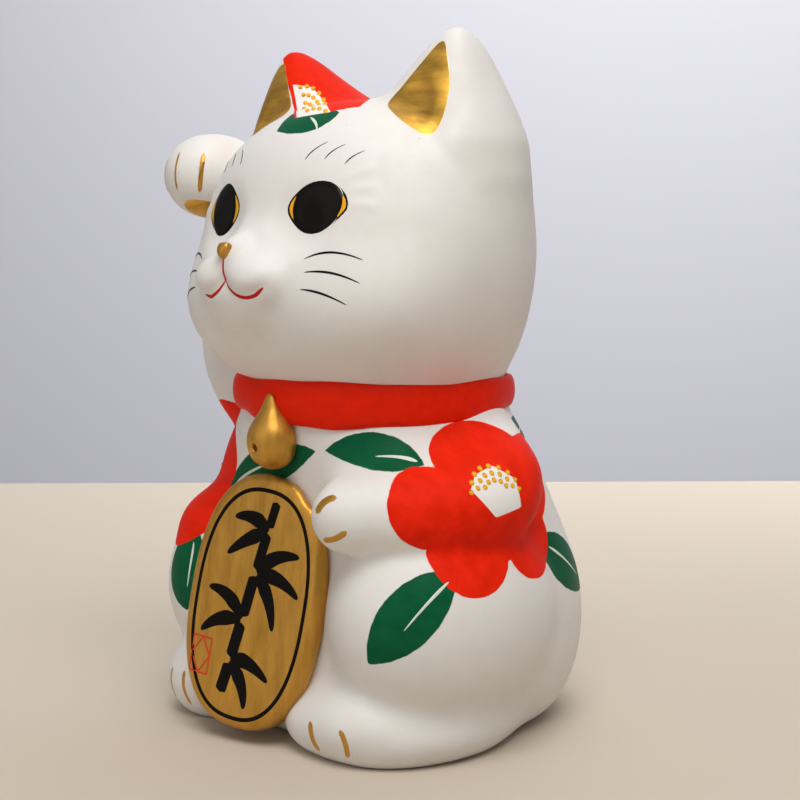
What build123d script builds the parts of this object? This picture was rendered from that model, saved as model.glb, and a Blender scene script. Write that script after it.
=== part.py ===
"""Seated beckoning cat figurine, built as the castings a pottery lutes together.

Frame: origin at the centre of the base on the resting plane, +Z up. The cat faces -Y and its
own left side is +X. All sizes are millimetres.
"""

import math
import os

from build123d import *

os.makedirs("parts", exist_ok=True)

# ---------------------------------------------------------------- driving dimensions
WALL = 4.0  # thickness of a slip-cast wall
NECK_Z = 97.5  # plane where the head casting stands on the body casting
HEAD_TOP_Z = 181.5
SECTION_POINTS = 32  # spline points round one cross-section
DOME_STEPS = (18.0, 40.0, 62.0, 80.0)  # latitudes of the sections that dome a limb end
SMALLEST_REACH = 2.0  # an inset section narrower than this is left out of a cavity
TABLE_BLOCK = 200.0  # side of the block that trims castings flat where they stand

# A section is (z, half width, front reach, back reach, front squareness, back squareness).
# Squareness 2 is an ellipse; a larger value fills the corners.
NECK_SQUARENESS = 2.2
NECK_SECTION = (38.0, 34.6, 39.4, NECK_SQUARENESS, NECK_SQUARENESS)
BODY_TOP_Z = 91.0  # the straight neck starts here, hidden by the collar
HEAD_BOTTOM_Z = 103.0
BODY_SECTIONS = [
    (0.0, 43.0, 33.5, 48.0, 2.6, 2.6),
    (2.2, 47.8, 35.5, 52.4, 2.6, 2.6),
    (6.0, 51.0, 36.6, 55.0, 2.6, 2.6),
    (13.0, 54.5, 37.4, 57.6, 2.6, 2.6),
    (24.0, 57.0, 36.2, 59.5, 2.8, 2.6),
    (36.0, 57.2, 33.8, 59.6, 3.0, 2.6),
    (48.0, 55.2, 32.4, 57.0, 3.2, 2.6),
    (60.0, 51.8, 32.2, 53.0, 3.2, 2.5),
    (72.0, 48.2, 32.8, 48.6, 3.1, 2.4),
    (82.0, 44.0, 34.0, 45.2, 2.7, 2.3),
    (BODY_TOP_Z, 39.6, 35.4, 41.4, 2.2, 2.2),
]
HEAD_SECTIONS = [
    (HEAD_BOTTOM_Z, 41.0, 37.0, 38.8, 2.2, 2.0),
    (106.0, 43.4, 40.8, 40.0, 2.4, 2.0),
    (111.0, 46.4, 45.0, 41.2, 2.7, 2.0),
    (118.0, 49.2, 47.6, 42.4, 2.9, 2.0),
    (126.0, 51.2, 48.2, 43.4, 2.8, 2.0),
    (134.0, 52.2, 46.8, 44.0, 2.5, 2.0),
    (142.0, 52.2, 44.4, 44.0, 2.3, 2.0),
    (150.0, 51.0, 42.4, 43.4, 2.2, 2.0),
    (158.0, 48.6, 40.2, 41.8, 2.1, 2.0),
    (165.0, 44.4, 37.0, 38.6, 2.1, 2.0),
    (171.0, 38.4, 32.2, 33.6, 2.0, 2.0),
    (176.0, 30.2, 25.4, 26.6, 2.0, 2.0),
    (179.5, 20.0, 17.0, 17.8, 2.0, 2.0),
    (181.0, 10.6, 9.0, 9.5, 2.0, 2.0),
    (HEAD_TOP_Z, 3.0, 2.6, 2.8, 2.0, 2.0),
]

HAUNCH_CENTRE = (37.0, -6.5, 37.0)
HAUNCH_RADII = (27.6, 36.0, 32.5)
KNEE_CENTRE = (-37.0, -13.5, 52.0)  # the knee under the raised foreleg stands higher
KNEE_RADII = (24.0, 25.0, 17.0)
FOOT_CENTRE = (31.0, -24.6, 9.5)
FOOT_RADII = (17.6, 20.6, 13.2)
TAIL_CENTRE = (0.0, 57.0, 17.0)
TAIL_RADII = (12.5, 10.5, 15.0)
MUZZLE_CENTRE = (0.0, -36.5, 130.0)
MUZZLE_RADII = (24.0, 18.0, 15.5)

# An ear section is (z, centre x, half width, front y, back y) for the left ear.
EAR_SECTIONS = [
    (158.0, 27.4, 22.6, -13.4, 23.0),
    (166.0, 27.3, 21.4, -13.0, 22.4),
    (173.0, 27.6, 19.6, -12.0, 21.2),
    (180.0, 28.8, 16.6, -10.6, 19.0),
    (186.0, 30.2, 13.2, -8.6, 16.0),
    (191.0, 31.6, 9.8, -6.4, 12.6),
    (195.0, 33.0, 6.3, -4.2, 8.8),
    (197.6, 34.0, 3.4, -2.2, 5.4),
    (198.8, 34.6, 1.3, -0.4, 2.7),
]
EAR_FRONT_SQUARENESS = 2.6
EAR_BACK_SQUARENESS = 2.2
EAR_HOLLOW_CENTRE = (30.6, -17.0, 180.0)
EAR_HOLLOW_RADII = (11.0, 9.0, 16.0)

# A limb station is (x, y, z, radius); both ends are domed.
RAISED_LIMB = [
    (-35.0, -4.0, 83.0, 11.0),
    (-42.4, -4.8, 91.2, 12.6),
    (-51.6, -5.2, 103.0, 13.2),
    (-56.0, -3.6, 121.0, 12.2),
    (-57.5, -1.5, 138.0, 11.4),
    (-57.0, -0.5, 152.0, 11.0),
]
RAISED_PAW = [
    (-56.8, 1.0, 160.4, 9.6),
    (-56.4, -7.0, 161.6, 11.2),
    (-56.0, -17.8, 161.0, 11.9),
]
LOWERED_LIMB = [
    (33.5, 9.0, 82.0, 10.5),
    (43.2, 6.8, 76.0, 12.8),
    (48.4, -2.4, 69.8, 14.0),
    (45.2, -16.6, 67.6, 12.8),
    (38.0, -28.8, 67.2, 11.2),
    (30.3, -36.0, 67.0, 10.2),
]

KOBAN_CENTRE = (-3.7, -39.6, 39.0)
KOBAN_HALF_LENGTH = 36.2
KOBAN_HALF_WIDTH = 23.3
KOBAN_THICKNESS = 9.0
KOBAN_SQUARENESS = 2.45
KOBAN_ROLL = 5.0  # degrees, top of the coin towards the lowered paw
KOBAN_YAW = 12.0  # degrees, face of the coin turned towards the lowered paw
KOBAN_LEAN = 10.0  # degrees, top of the coin back towards the belly
KOBAN_CHAMFER = 1.6
KOBAN_LUG_INSET = 6.0  # hidden lug on the coin's back, by which it is luted to the belly
KOBAN_LUG_DEPTH = 8.0

COLLAR_HALF_WIDTH = 41.0  # outer reach of the band, with the next two
COLLAR_FRONT = 38.0
COLLAR_BACK = 42.6
COLLAR_ROUND = 2.2  # how far the band bulges beyond its own edges
COLLAR_EDGES = (91.6, HEAD_BOTTOM_Z)
COLLAR_LATITUDES = (-90.0, -60.0, -30.0, 0.0, 30.0, 60.0, 90.0)  # sections over its rounding

BELL_CENTRE = (0.5, -37.6, 85.4)
BELL_PROFILE = [  # (radius, height above the centre) from the hanging point down
    (0.6, 13.2),
    (1.8, 12.4),
    (2.7, 10.2),
    (4.6, 6.6),
    (6.9, 2.6),
    (7.4, -1.2),
    (5.9, -5.4),
    (3.3, -7.7),
    (0.6, -8.4),
]

BASE_RECESS = 2.6  # the underside is set in, so that the rim alone touches the table
BASE_RIM = 7.0
BASE_FLOOR = 4.4
POUR_HOLE_RADIUS = 13.0
STOPPER_CLEARANCE = 0.05
STOPPER_FLANGE_RADIUS = 16.0
STOPPER_FLANGE = 1.8
STOPPER_INSET = 0.7  # from the resting plane up to the flange
STOPPER_DEPTH = 6.0
STOPPER_WALL = 2.2
STOPPER_GRIP = 3.0  # thickness of the grip bar
STOPPER_GRIP_INSET = 1.0  # the bar stays this far behind the flange face


# ---------------------------------------------------------------- shape helpers
def superellipse_reach(angle, half_width, along_y, squareness):
    """Distance from the centre to a superellipse in direction angle."""
    u = abs(math.cos(angle)) / half_width
    v = abs(math.sin(angle)) / along_y
    return (u**squareness + v**squareness) ** (-1.0 / squareness)


def section_wire(z, half_width, front, back, front_square, back_square, centre=(0.0, 0.0)):
    """Closed spline at height z whose front (-Y) and back halves have their own reach."""
    points = []
    for i in range(SECTION_POINTS):
        angle = 2.0 * math.pi * i / SECTION_POINTS
        if math.sin(angle) < 0.0:
            reach = superellipse_reach(angle, half_width, front, front_square)
        else:
            reach = superellipse_reach(angle, half_width, back, back_square)
        x = centre[0] + reach * math.cos(angle)
        y = centre[1] + reach * math.sin(angle)
        points.append(Vector(x, y, z))
    return Wire([Edge.make_spline(points, periodic=True)])


def section_loft(sections, inset=0.0, top=math.inf):
    """Solid through the sections up to height top, each pulled in by inset."""
    wires = []
    for z, half_width, front, back, front_square, back_square in sections:
        if z > top or min(half_width, front, back) - inset < SMALLEST_REACH:
            continue
        wires.append(
            section_wire(
                z, half_width - inset, front - inset, back - inset, front_square, back_square
            )
        )
    return Solid.make_loft(wires)


def ellipsoid(centre, radii):
    """Axis-aligned ellipsoid."""
    stretch = Matrix(
        [
            [radii[0], 0.0, 0.0, centre[0]],
            [0.0, radii[1], 0.0, centre[1]],
            [0.0, 0.0, radii[2], centre[2]],
        ]
    )
    return Solid.make_sphere(1.0).transform_geometry(stretch)


def mirrored(point):
    """The same place on the cat's other side."""
    return (-point[0], point[1], point[2])


def limb(stations):
    """Round limb through the stations, with both ends domed by shrinking sections."""
    path = Edge.make_spline([Vector(*station[:3]) for station in stations])
    wires = []

    def ring(origin, direction, radius):
        plane = Plane(origin=origin, x_dir=Vector(0, 0, 1).cross(direction), z_dir=direction)
        wires.append(Wire([Edge.make_circle(radius, plane)]))

    def dome(along, sign):
        origin, direction = path @ along, path % along
        radius = stations[0 if sign < 0 else -1][3]
        for degrees in DOME_STEPS if sign > 0 else reversed(DOME_STEPS):
            lift = sign * radius * math.sin(math.radians(degrees))
            ring(origin + direction * lift, direction, radius * math.cos(math.radians(degrees)))

    dome(0.0, -1)
    for station in stations:
        along = path.param_at_point(Vector(*station[:3]))
        ring(path @ along, path % along, station[3])
    dome(1.0, 1)
    return Solid.make_loft(wires)


def cut(shape, *others):
    """shape with the others taken away, keeping its largest solid."""
    for other in others:
        result = shape - other
        shape = max(result.solids(), key=lambda solid: solid.volume)
    return shape


def neck_post(bottom, top, inset=0.0):
    """Straight stretch of the neck, which the collar is fitted round."""
    half_width, front, back, front_square, back_square = NECK_SECTION
    wire = section_wire(
        bottom, half_width - inset, front - inset, back - inset, front_square, back_square
    )
    return Solid.extrude(Face(wire), Vector(0, 0, top - bottom))


# ---------------------------------------------------------------- castings
def body_form():
    """Outside of the body casting, haunches included."""
    form = section_loft(BODY_SECTIONS) + ellipsoid(HAUNCH_CENTRE, HAUNCH_RADII)
    form = form + ellipsoid(mirrored(HAUNCH_CENTRE), HAUNCH_RADII)
    form = form + ellipsoid(KNEE_CENTRE, KNEE_RADII)
    return (form + neck_post(BODY_TOP_Z, NECK_Z)).solid()


def body_cavity():
    """Inside of the body casting, from its floor up through the open neck."""
    floor_z = BASE_RECESS + BASE_FLOOR
    lowest = (floor_z, *BODY_SECTIONS[2][1:])
    upper = [section for section in BODY_SECTIONS if section[0] > floor_z]
    cavity = section_loft([lowest] + upper, inset=WALL)
    inner_haunch = [radius - WALL for radius in HAUNCH_RADII]
    cavity = cavity + ellipsoid(HAUNCH_CENTRE, inner_haunch)
    cavity = cavity + ellipsoid(mirrored(HAUNCH_CENTRE), inner_haunch)
    cavity = cavity + ellipsoid(KNEE_CENTRE, [radius - WALL for radius in KNEE_RADII])
    return (cavity + neck_post(BODY_TOP_Z - WALL, NECK_Z + WALL, inset=WALL)).solid()


def body_shell(form):
    """Hollow body with a set-in underside and the round pour hole."""
    _, half_width, front, back, front_square, back_square = BODY_SECTIONS[0]
    rim = section_wire(
        0.0,
        half_width - BASE_RIM,
        front - BASE_RIM,
        back - BASE_RIM,
        front_square,
        back_square,
    )
    recess = Solid.extrude(Face(rim), Vector(0, 0, BASE_RECESS))
    hole = Cylinder(POUR_HOLE_RADIUS, 2.0 * (BASE_RECESS + BASE_FLOOR + WALL))
    return cut(form, body_cavity(), recess, hole)


def head_form():
    """Outside of the head casting with its muzzle and its share of the neck."""
    form = section_loft(HEAD_SECTIONS) + ellipsoid(MUZZLE_CENTRE, MUZZLE_RADII)
    return (form + neck_post(NECK_Z, HEAD_BOTTOM_Z)).solid()


def head_shell(form):
    """Hollow head, open at the neck."""
    cavity = section_loft(HEAD_SECTIONS, inset=WALL, top=HEAD_TOP_Z - WALL)
    throat = neck_post(NECK_Z - WALL, HEAD_BOTTOM_Z + WALL, inset=WALL)
    return cut(form, (cavity + throat).solid())


def ear(side):
    """Thick pointed ear with a hollowed front. side is +1 for left and -1 for right."""
    wires = []
    for z, x, half_width, front, back in EAR_SECTIONS:
        middle = (front + back) / 2.0
        reach = (back - front) / 2.0
        wires.append(
            section_wire(
                z,
                half_width,
                reach,
                reach,
                EAR_FRONT_SQUARENESS,
                EAR_BACK_SQUARENESS,
                centre=(side * x, middle),
            )
        )
    hollow_centre = (side * EAR_HOLLOW_CENTRE[0], *EAR_HOLLOW_CENTRE[1:])
    return cut(Solid.make_loft(wires), ellipsoid(hollow_centre, EAR_HOLLOW_RADII))


def hind_foot(side):
    """Rounded toe end of a hind leg, flat where it stands."""
    centre = (side * FOOT_CENTRE[0], *FOOT_CENTRE[1:])
    below = Pos(0, 0, -TABLE_BLOCK / 2.0) * Box(TABLE_BLOCK, TABLE_BLOCK, TABLE_BLOCK)
    return cut(ellipsoid(centre, FOOT_RADII), below)


def raised_foreleg():
    """Right foreleg held up beside the head, its paw bent forward."""
    return (limb(RAISED_LIMB) + limb(RAISED_PAW)).solid()


def collar():
    """Rounded band fitted round the neck joint."""
    bottom, top = COLLAR_EDGES
    wires = []
    for degrees in COLLAR_LATITUDES:
        bulge = COLLAR_ROUND * (math.cos(math.radians(degrees)) - 1.0)
        z = (top + bottom + (top - bottom) * math.sin(math.radians(degrees))) / 2.0
        wires.append(
            section_wire(
                z,
                COLLAR_HALF_WIDTH + bulge,
                COLLAR_FRONT + bulge,
                COLLAR_BACK + bulge,
                NECK_SQUARENESS,
                NECK_SQUARENESS,
            )
        )
    return cut(Solid.make_loft(wires), neck_post(bottom - WALL, top + WALL))


def bell():
    """Drop-shaped bell that hangs from the collar."""
    x, y, z = BELL_CENTRE
    wires = [
        Wire([Edge.make_circle(radius, Plane(origin=(x, y, z + height)))])
        for radius, height in BELL_PROFILE
    ]
    return Solid.make_loft(wires)


def koban_outline(inset):
    """Flat oval face of the coin, pulled in by inset."""
    points = []
    for i in range(SECTION_POINTS):
        angle = 2.0 * math.pi * i / SECTION_POINTS
        reach = superellipse_reach(
            angle, KOBAN_HALF_WIDTH - inset, KOBAN_HALF_LENGTH - inset, KOBAN_SQUARENESS
        )
        points.append(Vector(reach * math.cos(angle), reach * math.sin(angle), 0.0))
    return Face(Wire([Edge.make_spline(points, periodic=True)]))


def koban():
    """Thick oval coin with chamfered rims, and its lug towards the belly."""
    slab = Solid.extrude(koban_outline(0.0), Vector(0, 0, KOBAN_THICKNESS))
    rims = slab.edges().filter_by(lambda e: e.is_closed)
    slab = slab.chamfer(KOBAN_CHAMFER, None, rims)
    lug = Solid.extrude(koban_outline(KOBAN_LUG_INSET), Vector(0, 0, -KOBAN_LUG_DEPTH))
    upright = Rot(90, 0, 0) * Pos(0, 0, -KOBAN_THICKNESS / 2.0) * (slab + lug)
    turned = Rot(0, 0, KOBAN_YAW) * Rot(-KOBAN_LEAN, 0, 0) * Rot(0, KOBAN_ROLL, 0)
    return (Pos(*KOBAN_CENTRE) * turned * upright).solid()


def base_stopper():
    """Soft cup stopper with a flange and a grip bar across its hollow."""
    neck = POUR_HOLE_RADIUS - STOPPER_CLEARANCE
    flange_top = STOPPER_INSET + STOPPER_FLANGE
    flange = Pos(0, 0, STOPPER_INSET + STOPPER_FLANGE / 2.0) * Cylinder(
        STOPPER_FLANGE_RADIUS, STOPPER_FLANGE
    )
    plug = Pos(0, 0, flange_top + STOPPER_DEPTH / 2.0) * Cylinder(neck, STOPPER_DEPTH)
    hollow_height = STOPPER_FLANGE + STOPPER_DEPTH - STOPPER_WALL
    hollow = Pos(0, 0, STOPPER_INSET + hollow_height / 2.0) * Cylinder(
        neck - STOPPER_WALL, hollow_height
    )
    grip_height = hollow_height - STOPPER_GRIP_INSET
    grip_width = 2.0 * neck - STOPPER_WALL  # reaches half way into the wall on both sides
    grip = Pos(0, 0, STOPPER_INSET + STOPPER_GRIP_INSET + grip_height / 2.0) * Box(
        grip_width, STOPPER_GRIP, grip_height
    )
    return (flange + plug - hollow + grip).solid()


# ---------------------------------------------------------------- assembly
def assemble():
    """Every casting, each one cut back to the face it is luted against."""
    body = body_form()
    head = head_form()
    band = collar()
    near_foot, far_foot = cut(hind_foot(1), body), cut(hind_foot(-1), body)
    lowered = cut(limb(LOWERED_LIMB), body, band)
    right_ear = cut(ear(-1), head)
    coin = cut(koban(), body, lowered, near_foot, far_foot)
    return {
        "body_shell": body_shell(body),
        "base_stopper": base_stopper(),
        "head_shell": head_shell(head),
        "left_ear": cut(ear(1), head),
        "right_ear": right_ear,
        "collar": band,
        "left_hind_foot": near_foot,
        "right_hind_foot": far_foot,
        "tail": cut(ellipsoid(TAIL_CENTRE, TAIL_RADII), body),
        "raised_foreleg": cut(raised_foreleg(), body, head, band, right_ear),
        "lowered_foreleg": lowered,
        "koban": coin,
        "bell": cut(bell(), body, head, band, coin),
    }


for name, solid in assemble().items():
    export_step(solid, f"parts/{name}.step")
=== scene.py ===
import math

import bpy
import numpy as np
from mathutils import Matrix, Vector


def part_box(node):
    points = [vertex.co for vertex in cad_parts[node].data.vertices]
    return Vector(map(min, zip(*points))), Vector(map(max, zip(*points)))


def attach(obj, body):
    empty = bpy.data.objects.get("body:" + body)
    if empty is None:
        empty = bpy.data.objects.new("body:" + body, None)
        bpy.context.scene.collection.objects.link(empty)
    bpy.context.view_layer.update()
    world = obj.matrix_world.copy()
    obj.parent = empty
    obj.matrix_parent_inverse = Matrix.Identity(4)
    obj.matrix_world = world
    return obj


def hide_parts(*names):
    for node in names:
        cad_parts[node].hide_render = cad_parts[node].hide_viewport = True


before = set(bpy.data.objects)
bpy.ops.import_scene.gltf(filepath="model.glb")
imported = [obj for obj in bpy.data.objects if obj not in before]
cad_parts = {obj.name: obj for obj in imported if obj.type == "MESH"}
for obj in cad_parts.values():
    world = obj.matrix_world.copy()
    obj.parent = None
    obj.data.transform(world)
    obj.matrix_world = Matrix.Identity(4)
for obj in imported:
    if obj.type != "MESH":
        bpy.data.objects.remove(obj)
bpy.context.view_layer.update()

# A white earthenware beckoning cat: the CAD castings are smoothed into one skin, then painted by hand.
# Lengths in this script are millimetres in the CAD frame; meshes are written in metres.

import openvdb as vdb
from mathutils import Vector
from mathutils.bvhtree import BVHTree

MM = 0.001
BODY_VOXEL, HEAD_VOXEL = ((0.68, 0.60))
BAND = 12.0  # how far from a surface its signed distance is kept
FIGURE = "figure"


# ---------------------------------------------------------------- distance fields
def node_mesh(name):
    """Points in millimetres and triangles of a CAD node."""
    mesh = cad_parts[name].data
    mesh.calc_loop_triangles()
    points = np.zeros(len(mesh.vertices) * 3, np.float32)
    mesh.vertices.foreach_get("co", points)
    triangles = np.zeros(len(mesh.loop_triangles) * 3, np.uint32)
    mesh.loop_triangles.foreach_get("vertices", triangles)
    return points.reshape(-1, 3) / MM, triangles.reshape(-1, 3)


def joined(names):
    """One triangle soup of several CAD nodes."""
    points, triangles, count = [], [], 0
    for name in names:
        p, t = node_mesh(name)
        points.append(p)
        triangles.append(t + np.uint32(count))
        count += len(p)
    return np.concatenate(points), np.concatenate(triangles)


class Field:
    """A block of voxels round some CAD nodes, in which signed distances are blended."""

    def __init__(self, names, voxel, margin=9.0):
        boxes = [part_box(name) for name in names]
        low = np.array([b[0] for b in boxes]).min(0) / MM - margin
        high = np.array([b[1] for b in boxes]).max(0) / MM + margin
        self.voxel = voxel
        self.start = np.floor(low / voxel).astype(int)
        self.shape = tuple(int(n) for n in np.ceil(high / voxel).astype(int) - self.start + 1)
        self.axes = [(self.start[i] + np.arange(self.shape[i])) * voxel for i in range(3)]
        self.x, self.y, self.z = np.meshgrid(*self.axes, indexing="ij", sparse=True)
        self.transform = vdb.createLinearTransform(voxel)

    def corner(self):
        return tuple(int(i) for i in self.start)

    def from_mesh(self, points, triangles=None, quads=None):
        grid = vdb.FloatGrid.createLevelSetFromPolygons(
            np.ascontiguousarray(points, np.float32),
            triangles=triangles,
            quads=quads,
            transform=self.transform,
            halfWidth=BAND / self.voxel,
        )
        array = np.zeros(self.shape, np.float32)
        grid.copyToArray(array, ijk=self.corner())
        return array

    def from_nodes(self, *names):
        return self.from_mesh(*joined(names))

    def to_mesh(self, array, level=0.0):
        grid = vdb.FloatGrid(BAND)
        grid.transform = self.transform
        grid.copyFromArray(array, ijk=self.corner(), tolerance=0.0)
        return grid.convertToQuads(level)

    def offset_and_back(self, array, radius):
        """Rounds hollow corners to a radius, or outward corners if it is negative."""
        points, quads = self.to_mesh(array, radius)
        return self.from_mesh(points, quads=quads) + radius

    def refined(self, coarse, array):
        """A coarser field's array read at this field's voxels."""
        for axis in range(3):
            at = (self.axes[axis] - coarse.axes[axis][0]) / coarse.voxel
            base = np.clip(np.floor(at).astype(int), 0, array.shape[axis] - 2)
            part = np.clip(at - base, 0.0, 1.0).astype(np.float32)
            part = part.reshape([-1 if a == axis else 1 for a in range(3)])
            low, high = np.take(array, base, axis=axis), np.take(array, base + 1, axis=axis)
            array = low + (high - low) * part
        return array

    def sample(self, array, points):
        """Trilinear values of array at points."""
        at = points / self.voxel - self.start
        base = np.clip(np.floor(at).astype(int), 0, np.array(self.shape) - 2)
        part = np.clip(at - base, 0.0, 1.0)
        value = np.zeros(len(points))
        for corner in range(8):
            step = np.array([corner & 1, corner >> 1 & 1, corner >> 2 & 1])
            weight = np.prod(np.where(step, part, 1.0 - part), axis=1)
            i, j, k = (base + step).T
            value += weight * array[i, j, k]
        return value

    def slopes(self, array, points):
        """Gradient of array at points."""
        step = self.voxel
        return np.stack(
            [
                (self.sample(array, points + d) - self.sample(array, points - d)) / (2.0 * step)
                for d in np.eye(3) * step
            ],
            axis=1,
        )


def blurred(array, voxels):
    """Three box blurs, close to a Gaussian of that many voxels."""
    width = int(round(voxels))
    for axis in range(3):
        for _ in range(3):
            padded = np.pad(
                array, [(width + 1, width) if a == axis else (0, 0) for a in range(3)], mode="edge"
            )
            total = np.cumsum(padded, axis=axis, dtype=np.float64)
            span = 2 * width + 1
            high = np.take(total, range(span, total.shape[axis]), axis=axis)
            low = np.take(total, range(0, total.shape[axis] - span), axis=axis)
            array = ((high - low) / span).astype(np.float32)
    return array


def melt(a, b, reach):
    """Union of two distance fields with a soft fillet."""
    mix = np.maximum(reach - np.abs(a - b), 0.0) / reach
    return np.minimum(a, b) - mix * mix * reach * 0.25


def carve(a, b, reach):
    """a with b taken away and the rim softened."""
    mix = np.maximum(reach - np.abs(a + b), 0.0) / reach
    return np.maximum(a, -b) + mix * mix * reach * 0.25


def egg(field, centre, radii):
    """Distance to an ellipsoid, good near its surface."""
    x = (field.x - centre[0]) / radii[0]
    y = (field.y - centre[1]) / radii[1]
    z = (field.z - centre[2]) / radii[2]
    length = np.sqrt(x * x + y * y + z * z)
    slope = np.sqrt((x / radii[0]) ** 2 + (y / radii[1]) ** 2 + (z / radii[2]) ** 2)
    return (length * (length - 1.0) / np.maximum(slope, 1e-6)).astype(np.float32)


def rod(field, a, b, radius):
    """Distance to a straight rod with round ends."""
    a, b = np.array(a, float), np.array(b, float)
    way = b - a
    along = (field.x - a[0]) * way[0] + (field.y - a[1]) * way[1] + (field.z - a[2]) * way[2]
    along = np.clip(along / (way @ way), 0.0, 1.0)
    x = field.x - a[0] - along * way[0]
    y = field.y - a[1] - along * way[1]
    z = field.z - a[2] - along * way[2]
    return (np.sqrt(x * x + y * y + z * z) - radius).astype(np.float32)


def drum(field, centre, radius, low, high):
    """Distance to an upright drum, good near its surface."""
    across = np.hypot(field.x - centre[0], field.y - centre[1]) - radius
    along = np.maximum(low - field.z, field.z - high)
    return np.maximum(across, along).astype(np.float32)


def smoothstep(value, low, high):
    t = np.clip((value - low) / (high - low), 0.0, 1.0)
    return t * t * (3.0 - 2.0 * t)


# ---------------------------------------------------------------- skins
BODY_NODES = [
    "body_shell", "raised_foreleg", "lowered_foreleg", "left_hind_foot", "right_hind_foot", "tail",
]
HEAD_NODES = ["head_shell", "left_ear", "right_ear"]
NECK_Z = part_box("body_shell")[1].z / MM
STOPPER_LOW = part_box("base_stopper")[0] / MM
CORE_NODES = ["body_shell", "head_shell", "base_stopper"]  # together they close the hollow inside
FOOT_RING = 7.0  # width of the rim the figure stands on
RECESS = 2.6  # how far the base is sunk inside that rim
FLOOR_TOP = 7.0  # inside of the casting's floor
POUR_HOLE = 13.05

# An egg is (centre, radii).
LEFT_TOES = ((19.5, -30.6, 8.0), (16.0, 14.0, 10.0))
RIGHT_TOES = ((-33.0, -25.5, 11.0), (18.2, 20.4, 14.0))
FOOT_BRIDGE = ((40.0, -12.0, 7.0), (16.0, 24.0, 9.0))  # fills the notch behind the left foot
RAISED_KNUCKLES = ((-55.0, -14.5, 161.4), (11.4, 15.5, 12.0))
TOE_GROOVE_RADIUS = 0.7


def soft_core(fine, coarse, side, crease):
    """The filled body (side 1) or head (side -1) with its hollow corners rounded to crease."""
    core = coarse.from_nodes(*CORE_NODES)
    core = np.maximum(core, side * (coarse.z - NECK_Z))
    core = coarse.offset_and_back(core, crease)
    return blurred(fine.refined(coarse, blurred(core, 1)), 2)


def body_skin(fine, coarse):
    """The body with its limbs and tail luted on, and each limb's own distance field."""
    parts = {name: fine.from_nodes(name) for name in BODY_NODES}
    whole = soft_core(fine, coarse, 1.0, 7.0)
    parts["body_shell"] = whole
    raised = coarse.offset_and_back(coarse.from_nodes("raised_foreleg"), 4.0)
    whole = melt(whole, fine.refined(coarse, raised), 8.0)
    under_arm = 3.0 + 7.0 * smoothstep(fine.z, 58.0, 76.0)
    whole = melt(whole, parts["lowered_foreleg"], under_arm)
    for foot in ("left_hind_foot", "right_hind_foot"):
        whole = melt(whole, parts[foot], 4.5)
    whole = melt(whole, egg(fine, *FOOT_BRIDGE), 8.0)
    for toes in (LEFT_TOES, RIGHT_TOES):
        whole = melt(whole, egg(fine, *toes), 5.0)
    whole = melt(whole, egg(fine, *RAISED_KNUCKLES), 4.0)
    whole = melt(whole, parts["tail"], 5.0)
    for groove in TOE_GROOVES:
        whole = carve(whole, rod(fine, *groove, TOE_GROOVE_RADIUS), 2.4)
    whole = carve(blurred(whole, 1), fine.z, 0.8)
    ring = int(round((RECESS - fine.axes[2][0]) / fine.voxel))
    inside = whole[:, :, ring][:, :, None] + FOOT_RING
    whole = carve(whole, np.maximum(inside, fine.z - RECESS), 0.8)
    whole = carve(whole, drum(fine, (0.0, 0.0), POUR_HOLE, -20.0, FLOOR_TOP + 5.0), 0.5)
    whole = carve(whole, drum(fine, (0.0, 0.0), 2.0 * POUR_HOLE, FLOOR_TOP, 4.0 * FLOOR_TOP), 1.0)
    return whole, parts


EYE_AT = ((20.7, 149.2), (-18.4, 149.5))  # left and right eye in the front view
EYE_SHAPES = ((9.6, 8.3, 7.1, 0.05), (8.5, 6.5, 7.5, 0.04))  # half width, pupil's, half height, slant
EYE_SOCKET_Y = -46.5
EYE_SOCKET_RADII = (13.0, 7.0, 11.0)
EYE_CREASES = [
    ((27.6, 156.6), (32.4, 159.4)), ((29.6, 153.6), (34.4, 154.4)), ((30.4, 150.2), (35.4, 149.4)),
]
EAR_TAPER = 5.0
EAR_TAPER_TOP = 169.0
TEMPLE = ((25.6, 4.5, 158.0), (24.0, 20.0, 27.0))  # carries the side of the head up into the ear
CHEEK_HOLLOW = ((13.8, -56.4, 140.8), (8.0, 8.0, 7.6))  # beside the bridge of the nose
MUZZLE_LOBE = ((7.4, -48.2, 129.8), (8.6, 7.4, 6.8))
CHIN = ((0.0, -44.5, 122.4), (9.0, 7.0, 6.0))
NOSE_TIP = ((0.0, -49.0, 137.2), (4.2, 4.0, 4.2))
LIP_GROOVE = ((0.0, -57.2, 134.0), (0.0, -57.0, 128.6))
TOE_GROOVES = [
    ((-49.6, -32.0, 170.0), (-49.9, -31.5, 155.0)),
    ((-56.6, -33.5, 170.0), (-55.6, -33.5, 155.0)),
]


def ear_taper(field):
    """Draws the foot of each ear in, so that it ends inside the head."""
    foot_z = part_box("left_ear")[0].z / MM
    return EAR_TAPER * smoothstep(EAR_TAPER_TOP - field.z, 0.0, EAR_TAPER_TOP - foot_z)


def on_side(side, shape):
    """An egg of the left side (side 1), or its twin on the right (side -1)."""
    (x, y, z), radii = shape
    return (side * x, y, z), radii


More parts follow.
